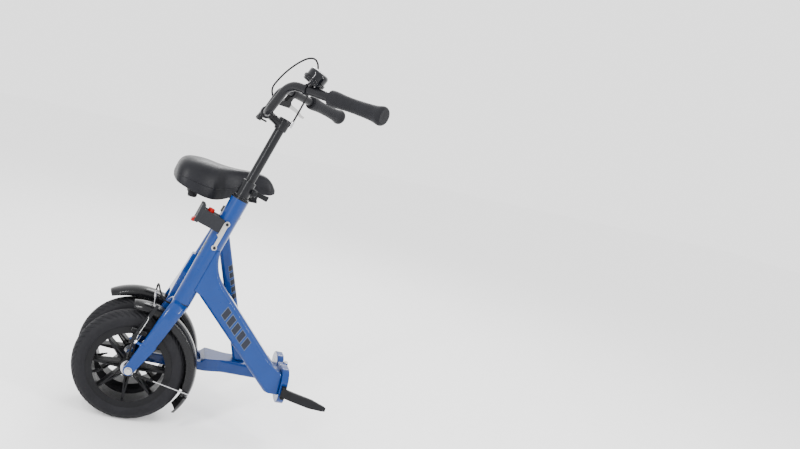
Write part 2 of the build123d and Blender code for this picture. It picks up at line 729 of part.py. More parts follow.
with BuildPart() as grips:
    for sign in (-1, 1):
        station = bar_station(sign, GRIP_LONG)
        with BuildSketch(Plane(station.origin, x_dir=station.z_dir, z_dir=station.x_dir)):
            with BuildLine():
                Spline([(a, r) for a, r in GRIP_SHAPE])
                Line((152, 18), (152, 0))
                Line((152, 0), (GRIP_LONG + 0.1, 0))
                Line((GRIP_LONG + 0.1, 0), (GRIP_LONG + 0.1, BAR_R + 0.02))
                Line((GRIP_LONG + 0.1, BAR_R + 0.02), (0, BAR_R + 0.02))
                Line((0, BAR_R + 0.02), (0, 18.5))
            make_face()
        revolve(axis=Axis(station.origin, station.z_dir))
save_turned(grips, "grips")

# ----------------------------------------------------------------- bell on the left end
BELL_IN, BELL_R = 222.0, 26.5
BELL_NOTCHES = 36
bell_at = bar_station(-1, BELL_IN)
bell_axis = Vector(0.42, -0.2, 0.88).normalized()
bell_base_at = bell_at.origin + bell_axis * (BAR_R + 7)
bell_plane = Plane(bell_base_at, x_dir=bell_at.z_dir.cross(bell_axis), z_dir=bell_axis)
with BuildPart() as bell_base:
    with BuildSketch(bell_at.offset(-4)):
        Circle(BAR_R + 3)
    extrude(amount=8)
    with BuildSketch(bell_plane):
        Circle(9)
    extrude(amount=-12)
    with BuildSketch(bell_plane):
        Circle(BELL_R)
    extrude(amount=13)
    with BuildSketch(bell_at.offset(-40)):
        Circle(BAR_R + 0.02)
    extrude(amount=80, mode=Mode.SUBTRACT)
    with BuildSketch(bell_plane.offset(13)):
        Circle(2.5)
    extrude(amount=13.7)
save_turned(bell_base, "bell_base")

with BuildPart() as bell_dome:
    with BuildSketch(bell_plane.offset(13.3)):
        Circle(BELL_R - 1)
    extrude(amount=20)
    fillet(bell_dome.faces().sort_by(Axis(bell_base_at, bell_axis))[-1].edges(), 9)
    with BuildSketch(bell_plane.offset(13.3)):
        Circle(BELL_R - 4)
    extrude(amount=14, mode=Mode.SUBTRACT)
save_turned(bell_dome, "bell_dome")

with BuildPart() as bell_ring:
    with BuildSketch(bell_plane.offset(5)):
        Circle(BELL_R + 2.3)
        with PolarLocations(BELL_R + 2.9, BELL_NOTCHES):
            Circle(1.4, mode=Mode.SUBTRACT)
        Circle(BELL_R + FIT, mode=Mode.SUBTRACT)
    extrude(amount=7.5)
save_turned(bell_ring, "bell_ring")

# ----------------------------------------------------------------- brake lever on the right end
LEVER_IN = 232.0
lever_at = bar_station(1, LEVER_IN)
lever_down = Vector(-0.30, 0.30, -0.91).normalized()
lever_out = lever_at.z_dir
lever_front = lever_out.cross(lever_down).normalized()
if lever_front.X > 0:
    lever_front = lever_front * -1
lever_down = lever_front.cross(lever_out).normalized()
if lever_down.Z > 0:
    lever_down = lever_down * -1
bracket_side = Plane(lever_at.origin, x_dir=lever_out, z_dir=lever_front)
down_sign = 1 if bracket_side.y_dir.dot(lever_down) > 0 else -1
PIVOT_OUT, PIVOT_DOWN = 10.0, 36.0
with BuildPart() as brake_bracket:
    with BuildSketch(lever_at.offset(-7)):
        Circle(BAR_R + 3.5)
    extrude(amount=14)
    with BuildSketch(bracket_side):
        with BuildLine():
            Polyline((-7, 0), (7, 0), (9, down_sign * 24), (16, down_sign * 30),
                     (16, down_sign * 42), (-26, down_sign * 46), (-30, down_sign * 34),
                     (-10, down_sign * 26), close=True)
        make_face()
    extrude(amount=7, both=True)
    with BuildSketch(lever_at.offset(-40)):
        Circle(BAR_R + 0.02)
    extrude(amount=80, mode=Mode.SUBTRACT)
    with BuildSketch(bracket_side):
        with Locations((PIVOT_OUT + 20, down_sign * PIVOT_DOWN)):
            Rectangle(60, 40)
    extrude(amount=4, both=True, mode=Mode.SUBTRACT)
    with BuildSketch(bracket_side):
        with Locations((PIVOT_OUT, down_sign * PIVOT_DOWN)):
            Circle(2.5 + FIT)
    extrude(amount=20, both=True, mode=Mode.SUBTRACT)

with BuildPart() as brake_lever:
    with BuildSketch(bracket_side):
        with BuildLine():
            Polyline((1, down_sign * 34), (14, down_sign * 30), (60, down_sign * 37),
                     (84, down_sign * 46), (97, down_sign * 47), (97, down_sign * 53),
                     (80, down_sign * 53), (56, down_sign * 46), (16, down_sign * 42),
                     (1, down_sign * 40), close=True)
        make_face()
        with Locations((PIVOT_OUT, down_sign * PIVOT_DOWN)):
            Circle(2.5 + FIT, mode=Mode.SUBTRACT)
    extrude(amount=3.6, both=True)
save_turned(brake_lever, "brake_lever")

with brake_bracket:
    with BuildSketch(bracket_side):
        with Locations((PIVOT_OUT, down_sign * PIVOT_DOWN)):
            Circle(2.5)
    extrude(amount=7.6, both=True)
save_turned(brake_bracket, "brake_bracket")

adjuster_at = bracket_side.from_local_coords((-28, down_sign * 40, 0))
adjuster_way = (bracket_side.x_dir * -1 + bracket_side.y_dir * down_sign * -0.05).normalized()
with BuildPart() as cable_ends:
    with BuildSketch(Plane(adjuster_at + adjuster_way * 2, z_dir=adjuster_way)):
        Circle(4.5)
    extrude(amount=12)
    with BuildSketch(Plane(adjuster_at + adjuster_way * 2, z_dir=adjuster_way)):
        Circle(CABLE_R + 0.3)
    extrude(amount=12, mode=Mode.SUBTRACT)

FERRULE_T, FERRULE_S = POST_R + 3 + 4.52, 770.0
with cable_ends:
    with BuildSketch(steer_cross(FERRULE_S - 10)):
        with Locations((FERRULE_T, 0)):
            Circle(4.5)
    extrude(amount=18)
    with BuildSketch(steer_cross(FERRULE_S - 4)):
        with Locations((FERRULE_T, 0)):
            Circle(CABLE_R + 0.2)
    extrude(amount=20, mode=Mode.SUBTRACT)
save_turned(cable_ends, "cable_ends")

cable_end = steer_side(0).from_local_coords((FERRULE_T, FERRULE_S - 3.5, 0))
cable_lead = steer_side(0).from_local_coords((FERRULE_T, FERRULE_S + 34, 0))
cable_start = adjuster_at + adjuster_way * 3
cable_turn = adjuster_at + adjuster_way * 27
high_route = [
    (29, 94, 974), (42, 90, 1000), (60, 86, 1027), (82, 78, 1051), (103, 63, 1067),
    (121, 43, 1069), (131, 24, 1053), (133, 12, 1025), (127, 6, 992), (117, 2, 958),
]
high_points = [tuple(cable_start), tuple(cable_turn), *high_route, tuple(cable_lead),
               tuple(cable_end)]
save_turned(cable_tube(high_points, gentle_radii(high_points), "brake_cable"), "brake_cable")

# ----------------------------------------------------------------- clamp on the steerer for the post
CLAMP_LOW, CLAMP_HIGH = HEAD_TOP + 4.2, 588.0
SKEWER_T, SKEWER_S = 24.0, 566.0
with BuildPart() as post_clamp:
    with BuildSketch(steer_cross(CLAMP_LOW)):
        Circle(18.5)
    extrude(amount=CLAMP_HIGH - CLAMP_LOW)
    with BuildSketch(steer_cross(CLAMP_LOW)):
        Circle(21)
    extrude(amount=6)
    with BuildSketch(steer_cross(SKEWER_S - 9)):
        with Locations((SKEWER_T - 6, 0)):
            Rectangle(26, 22)
    extrude(amount=18)
    fillet(post_clamp.edges().filter_by(lambda e: abs(e.length - 18) < 0.01), 4)
    with BuildSketch(steer_cross(CLAMP_LOW - 1)):
        Circle(STEERER_R + 0.02)
    extrude(amount=586.02 - CLAMP_LOW + 1, mode=Mode.SUBTRACT)
    with BuildSketch(steer_cross(580)):
        Circle(POST_R + 0.3)
    extrude(amount=20, mode=Mode.SUBTRACT)
    with BuildSketch(steer_cross(CLAMP_LOW + 6)):
        with Locations((SKEWER_T, 0)):
            Rectangle(30, 2.4)
    extrude(amount=60, mode=Mode.SUBTRACT)
    with BuildSketch(steer_side(0)):
        with Locations((SKEWER_T, SKEWER_S)):
            Circle(2.55)
    extrude(amount=30, both=True, mode=Mode.SUBTRACT)

CAM_R = 7.5              # quick-release lever: cam cheeks either side of the skewer's eye
CAM_HALF = 6.5
EYE_R, EYE_HALF = 5.0, 3.0
PIN_R = 2.0
CAM_OUT = CAM_R + 0.3     # cam axis to the face that the cam presses on


def skewer(plane, length):
    """Skewer that runs inwards along plane's y from the cam axis, with its eye and cross pin."""
    with BuildPart() as rod:
        with BuildSketch(Plane(plane.origin, x_dir=plane.z_dir, z_dir=plane.y_dir)):
            Circle(2.5)
        extrude(amount=-length)
        with BuildSketch(plane.offset(-EYE_HALF)):
            Circle(EYE_R)
        extrude(amount=2 * EYE_HALF)
        with BuildSketch(plane.offset(-CAM_HALF)):
            Circle(PIN_R)
        extrude(amount=2 * CAM_HALF)
    return rod.part


def cam_lever(plane, reach, name):
    """A quick-release lever: plane's z is the cam axis, x runs along the blade, y outwards."""
    with BuildPart() as lever:
        with BuildSketch(plane.offset(-CAM_HALF)):
            Circle(CAM_R)
            with BuildLine():
                Polyline((0, CAM_R), (14, CAM_R + 0.5), (reach - 12, 5.5), (reach, 6),
                         (reach, 2.5), (reach - 12, 2), (14, 4), (0, 3), close=True)
            make_face()
            Circle(PIN_R + FIT, mode=Mode.SUBTRACT)
        extrude(amount=2 * CAM_HALF)
        fillet(lever.edges().filter_by(lambda e: abs(e.length - 3.5) < 0.01), 3)
        with BuildSketch(plane.offset(-EYE_HALF - 0.3)):
            Circle(EYE_R + 0.3)
            with Locations((-CAM_R / 2 - 0.5, -CAM_R / 2 - 0.5)):
                Rectangle(CAM_R + 7, CAM_R + 7)
        extrude(amount=2 * EYE_HALF + 0.6, mode=Mode.SUBTRACT)
    save(lever, name)


post_cam = Plane(steer_side(11 + CAM_OUT).from_local_coords((SKEWER_T, SKEWER_S, 0)),
                 x_dir=steer_side(0).x_dir, z_dir=steer_side(0).x_dir.cross(Vector(0, 1, 0)))
post_skewer = skewer(post_cam, 11 + CAM_OUT + 13)
with post_clamp:
    add(post_skewer)
    with BuildSketch(steer_side(-11.05)):
        with Locations((SKEWER_T, SKEWER_S)):
            Circle(6.5)
    extrude(amount=9)
save(post_clamp, "post_clamp")
cam_lever(post_cam, 46, "post_clamp_lever")

# ================================================================= rear half
SEAT_LOW, SEAT_TOP = -84.0, 74.0     # seat tube ends, along its axis from its reference point
with BuildPart() as seat_tube:
    with BuildSketch(seat_cross(SEAT_LOW)):
        Circle(SEAT_TUBE_R)
        Circle(SEAT_BORE, mode=Mode.SUBTRACT)
    extrude(amount=SEAT_TOP - SEAT_LOW)
save(seat_tube, "seat_tube")

MAST_HALF = 16.0
STAY_TOP, STAY_LOW = 27.0, -11.0     # chain stay box above and below the axle
with BuildPart() as rear_mast:
    with BuildSketch(side(REAR)):
        with BuildLine():
            Polyline((166.7, 396), (176, 422), (194, 422), (332, STAY_TOP), (295.6, STAY_TOP),
                     close=True)
        make_face()
    extrude(amount=MAST_HALF, both=True)
    with BuildSketch(seat_cross(-160)):
        Circle(SEAT_TUBE_R + FIT)
    extrude(amount=300, mode=Mode.SUBTRACT)
    chamfer(rear_mast.edges().filter_by(lambda e: e.length > 250), 6)
    with BuildSketch(side(REAR)):
        with BuildLine():
            Polyline((177, 388), (199, 388), (325, STAY_TOP - 1), (302.6, STAY_TOP - 1), close=True)
        make_face()
    extrude(amount=MAST_HALF - 5, both=True, mode=Mode.SUBTRACT)
save(rear_mast, "rear_mast")

YOKE_BACK = 200.0         # bottom of the wheel cut-out
with BuildPart() as chain_stay:
    with BuildSketch(side(REAR)):
        with BuildLine():
            Polyline((0, 15), (YOKE_BACK, 15), (YOKE_BACK + 12, STAY_TOP), (BEAM_END, STAY_TOP),
                     (BEAM_END, STAY_LOW), (YOKE_BACK, STAY_LOW), (0, -15), close=True)
        make_face()
        Circle(15)
    extrude(amount=60, both=True)
    with BuildSketch(Plane.XY.offset(AXLE_Z - 40)):
        with BuildLine():
            Polyline((AXLE_X - 20, REAR - LEG_OUT), (AXLE_X + YOKE_BACK + 20, REAR - LEG_OUT),
                     (AXLE_X + YOKE_BACK + 55, REAR - 37), (AXLE_X + BEAM_END, REAR - 37),
                     (AXLE_X + BEAM_END, REAR + 37), (AXLE_X + YOKE_BACK + 55, REAR + 37),
                     (AXLE_X + YOKE_BACK + 20, REAR + LEG_OUT), (AXLE_X - 20, REAR + LEG_OUT),
                     close=True)
        make_face()
        with Locations((AXLE_X + YOKE_BACK - 150, REAR)):
            RectangleRounded(300, 2 * LEG_IN, 16, mode=Mode.SUBTRACT)
    extrude(amount=100, mode=Mode.INTERSECT)
    with BuildSketch(side(REAR)):
        Circle(AXLE_R + 0.01)
    extrude(amount=60, both=True, mode=Mode.SUBTRACT)
    chamfer(chain_stay.edges().filter_by(Axis.X).filter_by(lambda e: 120 < e.length < 180), 5)
    with BuildSketch(side(REAR)):
        with Locations(((YOKE_BACK + 22 + BEAM_END + 1) / 2, (STAY_TOP + STAY_LOW) / 2)):
            Rectangle(BEAM_END + 1 - YOKE_BACK - 22, STAY_TOP - STAY_LOW - 8)
    extrude(amount=30, both=True, mode=Mode.SUBTRACT)
save(chain_stay, "chain_stay")

STAY_ARCH = 197.0
with BuildPart() as seat_stays:
    with BuildSketch(side(REAR)):
        with BuildLine():
            Polyline((-11, 5), (66, 180), (114, 318), (152, 318), (130, 255), (92, 168), (12, -5),
                     close=True)
        make_face()
    extrude(amount=60, both=True)
    with BuildSketch(Plane(origin=(AXLE_X - 60, REAR, AXLE_Z), x_dir=(0, 1, 0), z_dir=(1, 0, 0))):
        with BuildLine():
            Polyline((-45, 15), (-45, 172), (-38, 206), (-16, 262), (-16, 330), (16, 330), (16, 262),
                     (38, 206), (45, 172), (45, 15), close=True)
        make_face()
        with Locations((0, STAY_ARCH - 150)):
            RectangleRounded(2 * LEG_IN, 300, 20, mode=Mode.SUBTRACT)
    extrude(amount=260, mode=Mode.INTERSECT)
    with BuildSketch(seat_cross(SEAT_LOW)):
        Rectangle(200, 200)
    extrude(amount=80, mode=Mode.SUBTRACT)
    with BuildSketch(side(REAR)):
        Rectangle(100, 2 * 15)
    extrude(amount=60, both=True, mode=Mode.SUBTRACT)
save(seat_stays, "seat_stays")

# ----------------------------------------------------------------- seat clamp, post and saddle
SEAT_CLAMP_LOW = SEAT_TOP - 20
SEAT_SKEWER_T = 29.0
with BuildPart() as seat_clamp:
    with BuildSketch(seat_cross(SEAT_CLAMP_LOW)):
        Circle(21.5)
        with Locations((SEAT_SKEWER_T - 6, 0)):
            Rectangle(22, 20)
    extrude(amount=18)
    with BuildSketch(seat_cross(SEAT_CLAMP_LOW)):
        Circle(SEAT_TUBE_R + 0.02)
        with Locations((SEAT_SKEWER_T, 0)):
            Rectangle(30, 2.4)
    extrude(amount=18, mode=Mode.SUBTRACT)
    with BuildSketch(seat_side(REAR)):
        with Locations((SEAT_SKEWER_T, SEAT_CLAMP_LOW + 9)):
            Circle(2.55)
    extrude(amount=30, both=True, mode=Mode.SUBTRACT)

seat_blade = (seat_side(0).y_dir * -0.95 - seat_side(0).x_dir * 0.2).normalized()
seat_cam_at = seat_side(REAR - 10 - CAM_OUT).from_local_coords((SEAT_SKEWER_T, SEAT_CLAMP_LOW + 9, 0))
seat_cam = Plane(seat_cam_at, x_dir=seat_blade, z_dir=seat_blade.cross(Vector(0, -1, 0)))
seat_skewer = skewer(seat_cam, 10 + CAM_OUT + 12)
with seat_clamp:
    add(seat_skewer)
    with BuildSketch(seat_side(REAR + 10.05)):
        with Locations((SEAT_SKEWER_T, SEAT_CLAMP_LOW + 9)):
            Circle(6.5)
    extrude(amount=-8)
save(seat_clamp, "seat_clamp")
cam_lever(seat_cam, 42, "seat_clamp_lever")

SEAT_POST_R = SEAT_BORE - FIT
HEAD_Z = 492.0            # saddle clamp height above the axle
head_along = (HEAD_Z - SEAT_Z) / sin(radians(SEAT_ANGLE))
clamp_x = SEAT_X + (HEAD_Z - SEAT_Z) / tan(radians(SEAT_ANGLE))
with BuildPart() as seat_post:
    with BuildSketch(seat_cross(SEAT_LOW + 14)):
        Circle(SEAT_POST_R)
        Circle(SEAT_POST_R - 2.2, mode=Mode.SUBTRACT)
    extrude(amount=head_along - 8 - (SEAT_LOW + 14))
save(seat_post, "seat_post")

RAIL_Z, RAIL_Y, RAIL_R = 499.0, 22.0, 3.5
with BuildPart() as saddle_clamp:
    with BuildSketch(seat_cross(head_along - 7.98)):
        Circle(SEAT_POST_R)
    extrude(amount=6)
    with BuildSketch(side(REAR)):
        with Locations((clamp_x, RAIL_Z)):
            Rectangle(36, 18)
    extrude(amount=28, both=True)
    with BuildSketch(Plane(origin=(AXLE_X + 60, REAR, AXLE_Z + RAIL_Z), x_dir=(0, 1, 0),
                           z_dir=(1, 0, 0))):
        with Locations((-RAIL_Y, 0), (RAIL_Y, 0)):
            Circle(RAIL_R + 0.02)
    extrude(amount=300, mode=Mode.SUBTRACT)
    with BuildSketch(seat_cross(head_along - 20)):
        Circle(SEAT_POST_R + 1)
    extrude(amount=12, mode=Mode.SUBTRACT)

with saddle_clamp:
    with BuildSketch(Plane(origin=(AXLE_X + 78, REAR, AXLE_Z + RAIL_Z), x_dir=(0, 1, 0),
                           z_dir=(1, 0, 0))):
        with Locations((-RAIL_Y, 0), (RAIL_Y, 0)):
            Circle(RAIL_R)
    extrude(amount=180)
save(saddle_clamp, "saddle_rails_and_clamp")

SADDLE_LOW, SADDLE_TOP = 513.0, 580.0
with BuildPart() as saddle_base:
    with BuildSketch(Plane.XY.offset(AXLE_Z + SADDLE_LOW)):
        with BuildLine():
            Spline([(AXLE_X + 34, REAR), (AXLE_X + 50, REAR + 72), (AXLE_X + 110, REAR + 84),
                    (AXLE_X + 190, REAR + 40), (AXLE_X + 280, REAR + 18), (AXLE_X + 292, REAR)])
            Line((AXLE_X + 292, REAR), (AXLE_X + 34, REAR))
        make_face()
        mirror(about=Plane.XZ.offset(-REAR))
    extrude(amount=5)
    for x_mid in (88, 248):
        with BuildSketch(Plane.XY.offset(AXLE_Z + RAIL_Z + RAIL_R + 0.02)):
            with Locations((AXLE_X + x_mid, REAR)):
                Rectangle(16, 56)
        extrude(amount=SADDLE_LOW - RAIL_Z - RAIL_R)
save(saddle_base, "saddle_base")

with BuildPart() as saddle:
    with BuildSketch(Plane.XY.offset(AXLE_Z + SADDLE_LOW + 5.3)):
        with BuildLine():
            Spline([(AXLE_X + 22, REAR), (AXLE_X + 42, REAR + 84), (AXLE_X + 105, REAR + 98),
                    (AXLE_X + 185, REAR + 50), (AXLE_X + 285, REAR + 30), (AXLE_X + 303, REAR)])
            Line((AXLE_X + 303, REAR), (AXLE_X + 22, REAR))
        make_face()
        mirror(about=Plane.XZ.offset(-REAR))
    extrude(amount=SADDLE_TOP - SADDLE_LOW - 5.3)
save(saddle, "saddle")

with BuildPart() as saddle_bumpers:
    for y in (-44, 44):
        with BuildSketch(Plane.XY.offset(AXLE_Z + SADDLE_LOW - 0.04)):
            with Locations((AXLE_X + 76, REAR + y)):
                Circle(16)
        extrude(amount=-32, taper=6)
    fillet(saddle_bumpers.faces().group_by(Axis.Z)[0].edges(), 5)
save(saddle_bumpers, "saddle_bumpers")
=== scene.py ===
from math import cos, exp, pi, radians, sin

import bmesh
import bpy
from mathutils import Matrix, Vector


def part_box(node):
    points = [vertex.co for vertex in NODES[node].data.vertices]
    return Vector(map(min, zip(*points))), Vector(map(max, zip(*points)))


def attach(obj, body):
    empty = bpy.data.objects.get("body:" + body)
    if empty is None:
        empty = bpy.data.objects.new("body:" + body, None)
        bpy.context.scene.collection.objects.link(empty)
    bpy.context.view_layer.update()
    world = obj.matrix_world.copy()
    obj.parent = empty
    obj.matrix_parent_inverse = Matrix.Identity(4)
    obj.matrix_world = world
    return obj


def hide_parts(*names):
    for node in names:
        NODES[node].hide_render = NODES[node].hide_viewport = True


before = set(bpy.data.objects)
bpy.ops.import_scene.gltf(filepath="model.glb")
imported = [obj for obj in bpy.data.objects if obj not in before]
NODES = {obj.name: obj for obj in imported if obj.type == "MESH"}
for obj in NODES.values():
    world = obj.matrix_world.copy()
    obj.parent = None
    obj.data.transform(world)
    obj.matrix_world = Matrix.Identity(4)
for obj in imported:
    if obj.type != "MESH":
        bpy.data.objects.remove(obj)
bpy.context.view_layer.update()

MM = 0.001


# ------------------------------------------------------------------ shared measures (metres)
def middle(node):
    low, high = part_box(node)
    return (low + high) / 2


FRONT_AXLE = middle("front_tyre")
REAR_AXLE = middle("rear_tyre")
WHEEL_R = (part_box("front_tyre")[1].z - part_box("front_tyre")[0].z) / 2
TYRE_R = (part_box("front_tyre")[1].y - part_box("front_tyre")[0].y) / 2
STEER_UP = Vector((cos(radians(73)), 0, sin(radians(73))))
STEER_BACK = Vector((sin(radians(73)), 0, -cos(radians(73))))
STEER_FOOT = FRONT_AXLE + Vector((42 * MM, 0, 0))
ARM_AHEAD = Vector((-0.913, 0, 0.408))    # square to the fork legs, and along them
ARM_UP = Vector((0.408, 0, 0.913))
CROWN_TOP = 213                           # fork crown's top along the steering axis, mm
LEG_FOOT = FRONT_AXLE + Vector((24 * MM, 0, 76 * MM))   # brake boss height on the fork legs
BRAKE_Y = 42.5 * MM                       # brake arms, from the wheel's middle plane
BAR_S, BAR_T = 765, -52                   # bar centre along and behind the steering axis, mm
BAR_TURN = radians(-5)                    # the handlebar is clamped a little turned


# ------------------------------------------------------------------ camera
def photo_camera():
    """A camera a little above saddle height, pitched down, turned right and rolled."""
    yaw, pitch, roll = radians(6.74), radians(10.98), radians(12.79)
    ahead = Vector((sin(yaw) * cos(pitch), cos(yaw) * cos(pitch), -sin(pitch)))
    right = Vector((cos(yaw), -sin(yaw), 0))
    up = right.cross(ahead)
    cam_x = right * cos(roll) + up * sin(roll)
    cam_y = up * cos(roll) - right * sin(roll)
    data = bpy.data.cameras.new("camera")
    data.sensor_width = 36
    data.lens = 30.88
    data.shift_x = 0.215
    data.shift_y = 0.0156
    data.clip_end = 60
    camera = bpy.data.objects.new("camera", data)
    turned = Matrix((cam_x, cam_y, -ahead)).transposed().to_4x4()
    camera.matrix_world = Matrix.Translation((-0.212, FRONT_AXLE.y - 1.788, 0.913)) @ turned
    bpy.context.collection.objects.link(camera)
    bpy.context.scene.camera = camera


# ------------------------------------------------------------------ studio
def strip_light(name, place, target, wide, tall, power):
    """A soft box at a place, turned to its target."""
    data = bpy.data.lights.new(name, "AREA")
    data.shape = "RECTANGLE"
    data.size = wide
    data.size_y = tall
    data.energy = power
    lamp = bpy.data.objects.new(name, data)
    way = Vector(target) - Vector(place)
    lamp.matrix_world = Matrix.Translation(place) @ way.to_track_quat("-Z", "Y").to_matrix().to_4x4()
    bpy.context.collection.objects.link(lamp)


def studio():
    """A bright white room: even light all round, two narrow soft boxes in front, one behind."""
    world = bpy.data.worlds.new("studio")
    bpy.context.scene.world = world
    world.use_nodes = True
    world.node_tree.nodes["Background"].inputs["Color"].default_value = (1, 1, 1, 1)
    world.node_tree.nodes["Background"].inputs["Strength"].default_value = 2.1
    strip_light("key", (-1.5, -1.7, 1.9), (0, 0, 0.45), 0.09, 2.2, 75)
    strip_light("fill", (2.1, -1.5, 1.6), (0, 0, 0.45), 0.08, 2.0, 50)
    strip_light("back", (0.6, 2.4, 2.6), (0, 0, 0.45), 1.2, 0.8, 50)
    mesh = bpy.data.meshes.new("floor")
    half = 14
    mesh.from_pydata([(-half, -half, 0), (half, -half, 0), (half, half, 0), (-half, half, 0)],
                     [], [(0, 1, 2, 3)])
    floor = bpy.data.objects.new("floor", mesh)
    bpy.context.collection.objects.link(floor)
    floor.data.materials.append(finish("floor", (0.96, 0.96, 0.96), 0.7, grain=0.004, bump=0.01,
                                       mottle=0.01))


# ------------------------------------------------------------------ materials
class Nodes:
    """A material's node tree, with short calls for the nodes that the finishes use."""

    def __init__(self, name):
        self.material = bpy.data.materials.new(name)
        self.material.use_nodes = True
        self.tree = self.material.node_tree
        self.shader = self.tree.nodes["Principled BSDF"]
        self.place = self.tree.nodes.new("ShaderNodeTexCoord").outputs["Object"]

    def link(self, source, target):
        self.tree.links.new(source, target)

    def feed(self, socket, value):
        if isinstance(value, bpy.types.NodeSocket):
            self.link(value, socket)
        else:
            socket.default_value = value

    def math(self, operation, first, second=0.0, third=0.0):
        node = self.tree.nodes.new("ShaderNodeMath")
        node.operation = operation
        for socket, value in zip(node.inputs, (first, second, third)):
            self.feed(socket, value)
        return node.outputs[0]

    def along(self, origin, axis):
        """Distance of a surface point from origin along an axis, in metres."""
        moved = self.tree.nodes.new("ShaderNodeVectorMath")
        moved.operation = "SUBTRACT"
        self.link(self.place, moved.inputs[0])
        moved.inputs[1].default_value = origin
        dot = self.tree.nodes.new("ShaderNodeVectorMath")
        dot.operation = "DOT_PRODUCT"
        self.link(moved.outputs[0], dot.inputs[0])
        dot.inputs[1].default_value = axis
        return dot.outputs["Value"]

    def noise(self, size, detail=3.0, stretch=(1, 1, 1)):
        scaled = self.tree.nodes.new("ShaderNodeMapping")
        scaled.inputs["Scale"].default_value = stretch
        self.link(self.place, scaled.inputs["Vector"])
        node = self.tree.nodes.new("ShaderNodeTexNoise")
        node.inputs["Scale"].default_value = 1 / size
        node.inputs["Detail"].default_value = detail
        self.link(scaled.outputs[0], node.inputs["Vector"])
        return node.outputs["Fac"]

    def cells(self, size):
        node = self.tree.nodes.new("ShaderNodeTexVoronoi")
        node.inputs["Scale"].default_value = 1 / size
        self.link(self.place, node.inputs["Vector"])
        return node.outputs["Distance"]

    def remap(self, value, low, high, start=0.3, end=0.7):
        node = self.tree.nodes.new("ShaderNodeMapRange")
        self.link(value, node.inputs["Value"])
        node.inputs["From Min"].default_value = start
        node.inputs["From Max"].default_value = end
        node.inputs["To Min"].default_value = low
        node.inputs["To Max"].default_value = high
        return node.outputs["Result"]

    def mix(self, share, first, second):
        node = self.tree.nodes.new("ShaderNodeMix")
        node.data_type = "RGBA"
        self.feed(node.inputs["Factor"], share)
        for socket, value in ((node.inputs["A"], first), (node.inputs["B"], second)):
            self.feed(socket, value if isinstance(value, bpy.types.NodeSocket) else (*value, 1))
        return node.outputs["Result"]

    def bump(self, height, strength, distance, below=None):
        node = self.tree.nodes.new("ShaderNodeBump")
        node.inputs["Strength"].default_value = strength
        node.inputs["Distance"].default_value = distance
        self.link(height, node.inputs["Height"])
        if below:
            self.link(below, node.inputs["Normal"])
        return node.outputs["Normal"]


def finish(name, color, rough, metal=0.0, coat=0.0, coat_rough=0.05, sheen=0.0, grain=0.001,
           bump=0.1, mottle=0.10, cells=False, stretch=(1, 1, 1), dust=0.0, marks=None, shine=0.14):
    """A material with mottled colour, uneven roughness and a fine surface grain."""
    nodes = Nodes(name)
    shader = nodes.shader
    shader.inputs["Metallic"].default_value = metal
    shader.inputs["Specular IOR Level"].default_value = 0.5 if metal else shine
    shader.inputs["Coat Weight"].default_value = coat
    shader.inputs["Coat IOR"].default_value = 1.22
    shader.inputs["Coat Roughness"].default_value = coat_rough
    shader.inputs["Sheen Weight"].default_value = sheen
    shader.inputs["Sheen Roughness"].default_value = 0.4
    cloud = nodes.noise(0.035, 4.0)
    dark = tuple(c * (1 - mottle) for c in color)
    light = tuple(min(1.0, c * (1 + mottle)) for c in color)
    tint = nodes.mix(nodes.remap(cloud, 0, 1), dark, light)
    if dust:
        speck = nodes.remap(nodes.noise(0.006, 6.0), 0, dust, 0.52, 0.75)
        tint = nodes.mix(speck, tint, (0.03, 0.029, 0.028))
    if marks:
        tint = marks(nodes, tint)
    nodes.link(tint, shader.inputs["Base Color"])
    smear = nodes.noise(0.011, 5.0, stretch)
    nodes.link(nodes.remap(smear, rough - 0.05, rough + 0.07), shader.inputs["Roughness"])
    fine = nodes.cells(grain) if cells else nodes.noise(grain, 2.0, stretch)
    waves = nodes.bump(nodes.noise(0.03, 1.0), 0.02, 0.001)
    nodes.link(nodes.bump(fine, bump, grain * 0.4, waves), shader.inputs["Normal"])
    return nodes.material


def bar_marks(origin, along, across, count, pitch, half, slant=0.35, keep=None):
    """Slanted dark bars with a pale outline, in place of any lettering."""
    def paint(nodes, tint):
        low = nodes.along(origin, across)
        run = nodes.math("MULTIPLY_ADD", low, slant, nodes.along(origin, along))
        cell = nodes.math("DIVIDE", run, pitch)
        off = nodes.math("ABSOLUTE", nodes.math("SUBTRACT", nodes.math("FRACT", cell), 0.5))
        inside = nodes.math("MULTIPLY", nodes.math("GREATER_THAN", cell, 0.0),
                            nodes.math("LESS_THAN", cell, float(count)))
        if keep:
            inside = nodes.math("MULTIPLY", inside,
                                nodes.math("GREATER_THAN", nodes.along(*keep), 0.0))
        height = nodes.math("ABSOLUTE", low)
        for color, wide, tall in (((0.055, 0.075, 0.11), 0.40, half + 0.0012),
                                  ((0.004, 0.006, 0.014), 0.335, half)):
            shape = nodes.math("MULTIPLY", nodes.math("LESS_THAN", off, wide),
                               nodes.math("LESS_THAN", height, tall))
            tint = nodes.mix(nodes.math("MULTIPLY", shape, inside), tint, color)
        return tint
    return paint


BLUE = (0.0, 0.023, 0.128)
BLACK = (0.0045, 0.0048, 0.0062)


def blue_paint(name, marks=None):
    return finish(name, BLUE, 0.32, coat=1.0, coat_rough=0.03, grain=0.0022, bump=0.006,
                  mottle=0.05, marks=marks, shine=0.15)


def put(material, *nodes):
    for node in nodes:
        mesh = NODES[node].data
        mesh.materials.clear()
        mesh.materials.append(material)


